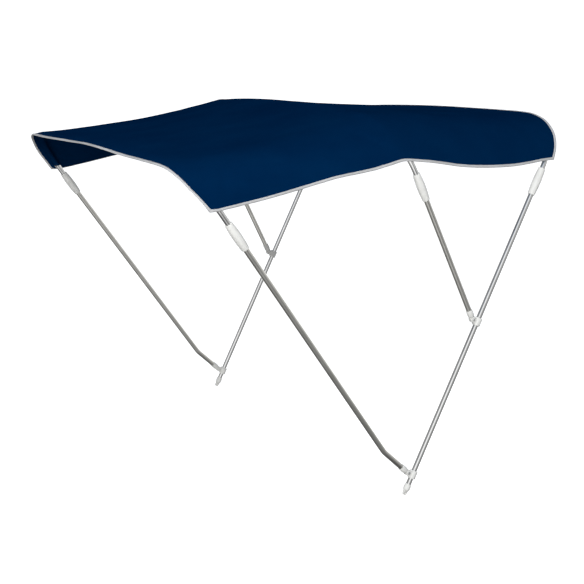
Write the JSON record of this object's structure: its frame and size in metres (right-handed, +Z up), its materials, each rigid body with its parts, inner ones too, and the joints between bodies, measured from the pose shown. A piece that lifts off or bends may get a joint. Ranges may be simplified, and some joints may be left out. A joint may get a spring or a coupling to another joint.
{
  "type": "bimini top with folding bow frame",
  "caption": "Boat sunshade: a dark blue cloth canopy with a pale bound edge, stretched over a folding tubular bow frame with white fittings.",
  "frame": {"origin": "on the deck line, midway between the two foot pins", "axes": "+X towards the rear (high) edge, +Y towards the far side, +Z up"},
  "size_m": [1.721, 1.6496, 1.4893],
  "materials": {
    "cloth": "dark navy woven canopy cloth, matt",
    "edge_tape": "pale grey woven edge tape",
    "bright_tube": "polished tube",
    "satin_tube": "satin anodised tube",
    "white_nylon": "moulded white nylon, smooth",
    "steel": "plain steel screws and bolts"
  },
  "bodies": {
    "root": {"canopy_cloth": "cloth", "binding_front": "edge_tape", "binding_rear": "edge_tape", "binding_near": "edge_tape", "binding_far": "edge_tape", "pocket_front": "cloth", "bow_front": "bright_tube", "pocket_mid": "cloth", "bow_mid": "bright_tube", "pocket_main": "cloth", "bow_main": "bright_tube", "sleeve_front_near": "white_nylon", "sleeve_mid_near": "white_nylon", "sleeve_main_near": "white_nylon", "leg_main_near": "bright_tube", "leg_mid_near": "satin_tube", "leg_front_near": "satin_tube", "foot_near": "white_nylon", "foot_screw_near": "steel", "slide_low_near": "white_nylon", "leg_end_low_near": "white_nylon", "pivot_bolt_low_near": "steel", "slide_mid_near": "white_nylon", "leg_end_mid_near": "white_nylon", "pivot_bolt_mid_near": "steel", "sleeve_front_far": "white_nylon", "sleeve_mid_far": "white_nylon", "sleeve_main_far": "white_nylon", "leg_main_far": "bright_tube", "leg_mid_far": "satin_tube", "leg_front_far": "satin_tube", "foot_far": "white_nylon", "foot_screw_far": "steel", "slide_low_far": "white_nylon", "leg_end_low_far": "white_nylon", "pivot_bolt_low_far": "steel", "slide_mid_far": "white_nylon", "leg_end_mid_far": "white_nylon", "pivot_bolt_mid_far": "steel"}
  },
  "joints": []
}
